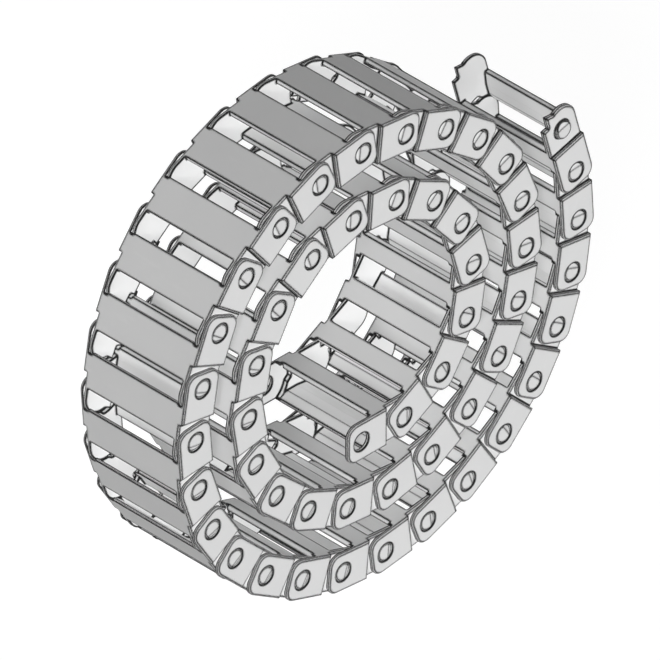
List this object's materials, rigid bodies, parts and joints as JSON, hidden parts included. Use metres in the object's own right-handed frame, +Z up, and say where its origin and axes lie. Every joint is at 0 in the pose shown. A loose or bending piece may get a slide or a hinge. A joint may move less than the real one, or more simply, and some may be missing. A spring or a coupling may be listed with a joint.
{
  "type": "cable drag chain",
  "caption": "Plastic cable drag chain with open windows in its cross plates, coiled up on its edge, with pivoting snap-in links.",
  "frame": {"origin": "on the floor plane under the middle of the coil's bounding box; the coil stands on its edge", "axes": "+Z up, +Y along every hinge axis, from the front side of the coil to its back side, +X to the right as the front side is seen"},
  "size_m": [0.194, 0.0464, 0.1817],
  "materials": {
    "grey_plastic": "satin"
  },
  "bodies": {
    "link_01": {"link_01": "grey_plastic"},
    "link_02": {"link_02": "grey_plastic"},
    "link_03": {"link_03": "grey_plastic"},
    "link_04": {"link_04": "grey_plastic"},
    "link_05": {"link_05": "grey_plastic"},
    "link_06": {"link_06": "grey_plastic"},
    "link_07": {"link_07": "grey_plastic"},
    "link_08": {"link_08": "grey_plastic"},
    "link_09": {"link_09": "grey_plastic"},
    "link_10": {"link_10": "grey_plastic"},
    "link_11": {"link_11": "grey_plastic"},
    "link_12": {"link_12": "grey_plastic"},
    "link_13": {"link_13": "grey_plastic"},
    "link_14": {"link_14": "grey_plastic"},
    "link_15": {"link_15": "grey_plastic"},
    "link_16": {"link_16": "grey_plastic"},
    "link_17": {"link_17": "grey_plastic"},
    "link_18": {"link_18": "grey_plastic"},
    "link_19": {"link_19": "grey_plastic"},
    "link_20": {"link_20": "grey_plastic"},
    "link_21": {"link_21": "grey_plastic"},
    "link_22": {"link_22": "grey_plastic"},
    "link_23": {"link_23": "grey_plastic"},
    "link_24": {"link_24": "grey_plastic"},
    "link_25": {"link_25": "grey_plastic"},
    "link_26": {"link_26": "grey_plastic"},
    "link_27": {"link_27": "grey_plastic"},
    "link_28": {"link_28": "grey_plastic"},
    "link_29": {"link_29": "grey_plastic"},
    "link_30": {"link_30": "grey_plastic"},
    "link_31": {"link_31": "grey_plastic"},
    "link_32": {"link_32": "grey_plastic"},
    "link_33": {"link_33": "grey_plastic"},
    "link_34": {"link_34": "grey_plastic"},
    "link_35": {"link_35": "grey_plastic"},
    "link_36": {"link_36": "grey_plastic"},
    "link_37": {"link_37": "grey_plastic"},
    "link_38": {"link_38": "grey_plastic"},
    "link_39": {"link_39": "grey_plastic"},
    "link_40": {"link_40": "grey_plastic"},
    "link_41": {"link_41": "grey_plastic"},
    "link_42": {"link_42": "grey_plastic"},
    "link_43": {"link_43": "grey_plastic"},
    "link_44": {"link_44": "grey_plastic"},
    "link_45": {"link_45": "grey_plastic"},
    "link_46": {"link_46": "grey_plastic"},
    "link_47": {"link_47": "grey_plastic"},
    "link_48": {"link_48": "grey_plastic"},
    "link_49": {"link_49": "grey_plastic"},
    "link_50": {"link_50": "grey_plastic"}
  },
  "joints": [
    {"name": "hinge_01", "type": "hinge", "parent": "link_02", "child": "link_01", "pos_m": [0.00761, 0, 0.05818], "axis": [0, -1, 0], "range_deg": [-2.24, 28.26]},
    {"name": "hinge_02", "type": "hinge", "parent": "link_03", "child": "link_02", "pos_m": [0.02527, 0, 0.06757], "axis": [0, -1, 0], "range_deg": [-3.51, 26.99]},
    {"name": "hinge_03", "type": "hinge", "parent": "link_04", "child": "link_03", "pos_m": [0.03675, 0, 0.08395], "axis": [0, -1, 0], "range_deg": [-4.62, 25.88]},
    {"name": "hinge_04", "type": "hinge", "parent": "link_05", "child": "link_04", "pos_m": [0.03993, 0, 0.10369], "axis": [0, -1, 0], "range_deg": [-5.6, 24.9]},
    {"name": "hinge_05", "type": "hinge", "parent": "link_06", "child": "link_05", "pos_m": [0.0345, 0, 0.12294], "axis": [0, -1, 0], "range_deg": [-6.48, 24.02]},
    {"name": "hinge_06", "type": "hinge", "parent": "link_07", "child": "link_06", "pos_m": [0.0217, 0, 0.13831], "axis": [0, -1, 0], "range_deg": [-7.27, 23.23]},
    {"name": "hinge_07", "type": "hinge", "parent": "link_08", "child": "link_07", "pos_m": [0.00388, 0, 0.14739], "axis": [0, -1, 0], "range_deg": [-7.99, 22.51]},
    {"name": "hinge_08", "type": "hinge", "parent": "link_09", "child": "link_08", "pos_m": [-0.01606, 0, 0.14895], "axis": [0, -1, 0], "range_deg": [-8.64, 21.86]},
    {"name": "hinge_09", "type": "hinge", "parent": "link_10", "child": "link_09", "pos_m": [-0.03515, 0, 0.14297], "axis": [0, -1, 0], "range_deg": [-9.24, 21.26]},
    {"name": "hinge_10", "type": "hinge", "parent": "link_11", "child": "link_10", "pos_m": [-0.05077, 0, 0.13049], "axis": [0, -1, 0], "range_deg": [-9.8, 20.7]},
    {"name": "hinge_11", "type": "hinge", "parent": "link_12", "child": "link_11", "pos_m": [-0.06097, 0, 0.11328], "axis": [0, -1, 0], "range_deg": [-10.31, 20.19]},
    {"name": "hinge_12", "type": "hinge", "parent": "link_13", "child": "link_12", "pos_m": [-0.06461, 0, 0.09362], "axis": [0, -1, 0], "range_deg": [-10.79, 19.71]},
    {"name": "hinge_13", "type": "hinge", "parent": "link_14", "child": "link_13", "pos_m": [-0.0614, 0, 0.07388], "axis": [0, -1, 0], "range_deg": [-11.23, 19.27]},
    {"name": "hinge_14", "type": "hinge", "parent": "link_15", "child": "link_14", "pos_m": [-0.05185, 0, 0.0563], "axis": [0, -1, 0], "range_deg": [-11.65, 18.85]},
    {"name": "hinge_15", "type": "hinge", "parent": "link_16", "child": "link_15", "pos_m": [-0.03714, 0, 0.04275], "axis": [0, -1, 0], "range_deg": [-12.04, 18.46]},
    {"name": "hinge_16", "type": "hinge", "parent": "link_17", "child": "link_16", "pos_m": [-0.01889, 0, 0.03456], "axis": [0, -1, 0], "range_deg": [-12.4, 18.1]},
    {"name": "hinge_17", "type": "hinge", "parent": "link_18", "child": "link_17", "pos_m": [0.00099, 0, 0.03245], "axis": [0, -1, 0], "range_deg": [-12.75, 17.75]},
    {"name": "hinge_18", "type": "hinge", "parent": "link_19", "child": "link_18", "pos_m": [0.02058, 0, 0.03649], "axis": [0, -1, 0], "range_deg": [-13.07, 17.43]},
    {"name": "hinge_19", "type": "hinge", "parent": "link_20", "child": "link_19", "pos_m": [0.03805, 0, 0.04622], "axis": [0, -1, 0], "range_deg": [-13.38, 17.12]},
    {"name": "hinge_20", "type": "hinge", "parent": "link_21", "child": "link_20", "pos_m": [0.05189, 0, 0.06066], "axis": [0, -1, 0], "range_deg": [-13.68, 16.82]},
    {"name": "hinge_21", "type": "hinge", "parent": "link_22", "child": "link_21", "pos_m": [0.06096, 0, 0.07849], "axis": [0, -1, 0], "range_deg": [-13.95, 16.55]},
    {"name": "hinge_22", "type": "hinge", "parent": "link_23", "child": "link_22", "pos_m": [0.06457, 0, 0.09816], "axis": [0, -1, 0], "range_deg": [-14.22, 16.28]},
    {"name": "hinge_23", "type": "hinge", "parent": "link_24", "child": "link_23", "pos_m": [0.06252, 0, 0.11805], "axis": [0, -1, 0], "range_deg": [-14.47, 16.03]},
    {"name": "hinge_24", "type": "hinge", "parent": "link_25", "child": "link_24", "pos_m": [0.05506, 0, 0.13661], "axis": [0, -1, 0], "range_deg": [-14.71, 15.79]},
    {"name": "hinge_25", "type": "hinge", "parent": "link_26", "child": "link_25", "pos_m": [0.04284, 0, 0.15244], "axis": [0, -1, 0], "range_deg": [-14.94, 15.56]},
    {"name": "hinge_26", "type": "hinge", "parent": "link_27", "child": "link_26", "pos_m": [0.02681, 0, 0.1644], "axis": [0, -1, 0], "range_deg": [-15.16, 15.34]},
    {"name": "hinge_27", "type": "hinge", "parent": "link_28", "child": "link_27", "pos_m": [0.00819, 0, 0.17171], "axis": [0, -1, 0], "range_deg": [-15.38, 15.12]},
    {"name": "hinge_28", "type": "hinge", "parent": "link_28", "child": "link_29", "pos_m": [-0.01169, 0, 0.1739], "axis": [0, 1, 0], "range_deg": [-15.58, 14.92]},
    {"name": "hinge_29", "type": "hinge", "parent": "link_29", "child": "link_30", "pos_m": [-0.03146, 0, 0.1709], "axis": [0, 1, 0], "range_deg": [-15.77, 14.73]},
    {"name": "hinge_30", "type": "hinge", "parent": "link_30", "child": "link_31", "pos_m": [-0.04982, 0, 0.16297], "axis": [0, 1, 0], "range_deg": [-15.96, 14.54]},
    {"name": "hinge_31", "type": "hinge", "parent": "link_31", "child": "link_32", "pos_m": [-0.0656, 0, 0.15068], "axis": [0, 1, 0], "range_deg": [-16.14, 14.36]},
    {"name": "hinge_32", "type": "hinge", "parent": "link_32", "child": "link_33", "pos_m": [-0.07785, 0, 0.13487], "axis": [0, 1, 0], "range_deg": [-16.32, 14.19]},
    {"name": "hinge_33", "type": "hinge", "parent": "link_33", "child": "link_34", "pos_m": [-0.08584, 0, 0.11654], "axis": [0, 1, 0], "range_deg": [-16.48, 14.02]},
    {"name": "hinge_34", "type": "hinge", "parent": "link_34", "child": "link_35", "pos_m": [-0.08916, 0, 0.09681], "axis": [0, 1, 0], "range_deg": [-16.65, 13.86]},
    {"name": "hinge_35", "type": "hinge", "parent": "link_35", "child": "link_36", "pos_m": [-0.08765, 0, 0.07687], "axis": [0, 1, 0], "range_deg": [-16.8, 13.7]},
    {"name": "hinge_36", "type": "hinge", "parent": "link_36", "child": "link_37", "pos_m": [-0.08147, 0, 0.05785], "axis": [0, 1, 0], "range_deg": [-16.95, 13.55]},
    {"name": "hinge_37", "type": "hinge", "parent": "link_37", "child": "link_38", "pos_m": [-0.07101, 0, 0.04081], "axis": [0, 1, 0], "range_deg": [-17.1, 13.4]},
    {"name": "hinge_38", "type": "hinge", "parent": "link_38", "child": "link_39", "pos_m": [-0.05687, 0, 0.02665], "axis": [0, 1, 0], "range_deg": [-17.24, 13.26]},
    {"name": "hinge_39", "type": "hinge", "parent": "link_39", "child": "link_40", "pos_m": [-0.03987, 0, 0.01612], "axis": [0, 1, 0], "range_deg": [-17.38, 13.12]},
    {"name": "hinge_40", "type": "hinge", "parent": "link_40", "child": "link_41", "pos_m": [-0.02093, 0, 0.00972], "axis": [0, 1, 0], "range_deg": [-17.51, 12.99]},
    {"name": "hinge_41", "type": "hinge", "parent": "link_41", "child": "link_42", "pos_m": [-0.00102, 0, 0.00774], "axis": [0, 1, 0], "range_deg": [-17.64, 12.86]},
    {"name": "hinge_42", "type": "hinge", "parent": "link_42", "child": "link_43", "pos_m": [0.01882, 0, 0.01024], "axis": [0, 1, 0], "range_deg": [-17.77, 12.73]},
    {"name": "hinge_43", "type": "hinge", "parent": "link_43", "child": "link_44", "pos_m": [0.03762, 0, 0.01705], "axis": [0, 1, 0], "range_deg": [-17.89, 12.61]},
    {"name": "hinge_44", "type": "hinge", "parent": "link_44", "child": "link_45", "pos_m": [0.05449, 0, 0.0278], "axis": [0, 1, 0], "range_deg": [-18.01, 12.49]},
    {"name": "hinge_45", "type": "hinge", "parent": "link_45", "child": "link_46", "pos_m": [0.06862, 0, 0.04195], "axis": [0, 1, 0], "range_deg": [-18.12, 12.38]},
    {"name": "hinge_46", "type": "hinge", "parent": "link_46", "child": "link_47", "pos_m": [0.0794, 0, 0.0588], "axis": [0, 1, 0], "range_deg": [-18.23, 12.27]},
    {"name": "hinge_47", "type": "hinge", "parent": "link_47", "child": "link_48", "pos_m": [0.08635, 0, 0.07755], "axis": [0, 1, 0], "range_deg": [-18.34, 12.16]},
    {"name": "hinge_48", "type": "hinge", "parent": "link_48", "child": "link_49", "pos_m": [0.0892, 0, 0.09734], "axis": [0, 1, 0], "range_deg": [-18.45, 12.05]},
    {"name": "hinge_49", "type": "hinge", "parent": "link_49", "child": "link_50", "pos_m": [0.08785, 0, 0.1173], "axis": [0, 1, 0], "range_deg": [-18.55, 11.95]}
  ],
  "couplings": [
    {"joint": "hinge_02", "follows": "hinge_01", "ratio": 0.95513},
    {"joint": "hinge_03", "follows": "hinge_01", "ratio": 0.91583},
    {"joint": "hinge_04", "follows": "hinge_01", "ratio": 0.88103},
    {"joint": "hinge_05", "follows": "hinge_01", "ratio": 0.84993},
    {"joint": "hinge_06", "follows": "hinge_01", "ratio": 0.82192},
    {"joint": "hinge_07", "follows": "hinge_01", "ratio": 0.79652},
    {"joint": "hinge_08", "follows": "hinge_01", "ratio": 0.77334},
    {"joint": "hinge_09", "follows": "hinge_01", "ratio": 0.75208},
    {"joint": "hinge_10", "follows": "hinge_01", "ratio": 0.73248},
    {"joint": "hinge_11", "follows": "hinge_01", "ratio": 0.71434},
    {"joint": "hinge_12", "follows": "hinge_01", "ratio": 0.69749},
    {"joint": "hinge_13", "follows": "hinge_01", "ratio": 0.68178},
    {"joint": "hinge_14", "follows": "hinge_01", "ratio": 0.66709},
    {"joint": "hinge_15", "follows": "hinge_01", "ratio": 0.65331},
    {"joint": "hinge_16", "follows": "hinge_01", "ratio": 0.64036},
    {"joint": "hinge_17", "follows": "hinge_01", "ratio": 0.62814},
    {"joint": "hinge_18", "follows": "hinge_01", "ratio": 0.6166},
    {"joint": "hinge_19", "follows": "hinge_01", "ratio": 0.60568},
    {"joint": "hinge_20", "follows": "hinge_01", "ratio": 0.59531},
    {"joint": "hinge_21", "follows": "hinge_01", "ratio": 0.58546},
    {"joint": "hinge_22", "follows": "hinge_01", "ratio": 0.57609},
    {"joint": "hinge_23", "follows": "hinge_01", "ratio": 0.56715},
    {"joint": "hinge_24", "follows": "hinge_01", "ratio": 0.55862},
    {"joint": "hinge_25", "follows": "hinge_01", "ratio": 0.55046},
    {"joint": "hinge_26", "follows": "hinge_01", "ratio": 0.54265},
    {"joint": "hinge_27", "follows": "hinge_01", "ratio": 0.53516},
    {"joint": "hinge_28", "follows": "hinge_01", "ratio": 0.52797},
    {"joint": "hinge_29", "follows": "hinge_01", "ratio": 0.52107},
    {"joint": "hinge_30", "follows": "hinge_01", "ratio": 0.51443},
    {"joint": "hinge_31", "follows": "hinge_01", "ratio": 0.50804},
    {"joint": "hinge_32", "follows": "hinge_01", "ratio": 0.50188},
    {"joint": "hinge_33", "follows": "hinge_01", "ratio": 0.49594},
    {"joint": "hinge_34", "follows": "hinge_01", "ratio": 0.4902},
    {"joint": "hinge_35", "follows": "hinge_01", "ratio": 0.48467},
    {"joint": "hinge_36", "follows": "hinge_01", "ratio": 0.47931},
    {"joint": "hinge_37", "follows": "hinge_01", "ratio": 0.47413},
    {"joint": "hinge_38", "follows": "hinge_01", "ratio": 0.46911},
    {"joint": "hinge_39", "follows": "hinge_01", "ratio": 0.46425},
    {"joint": "hinge_40", "follows": "hinge_01", "ratio": 0.45954},
    {"joint": "hinge_41", "follows": "hinge_01", "ratio": 0.45497},
    {"joint": "hinge_42", "follows": "hinge_01", "ratio": 0.45053},
    {"joint": "hinge_43", "follows": "hinge_01", "ratio": 0.44622},
    {"joint": "hinge_44", "follows": "hinge_01", "ratio": 0.44203},
    {"joint": "hinge_45", "follows": "hinge_01", "ratio": 0.43795},
    {"joint": "hinge_46", "follows": "hinge_01", "ratio": 0.43399},
    {"joint": "hinge_47", "follows": "hinge_01", "ratio": 0.43013},
    {"joint": "hinge_48", "follows": "hinge_01", "ratio": 0.42638},
    {"joint": "hinge_49", "follows": "hinge_01", "ratio": 0.42272}
  ]
}
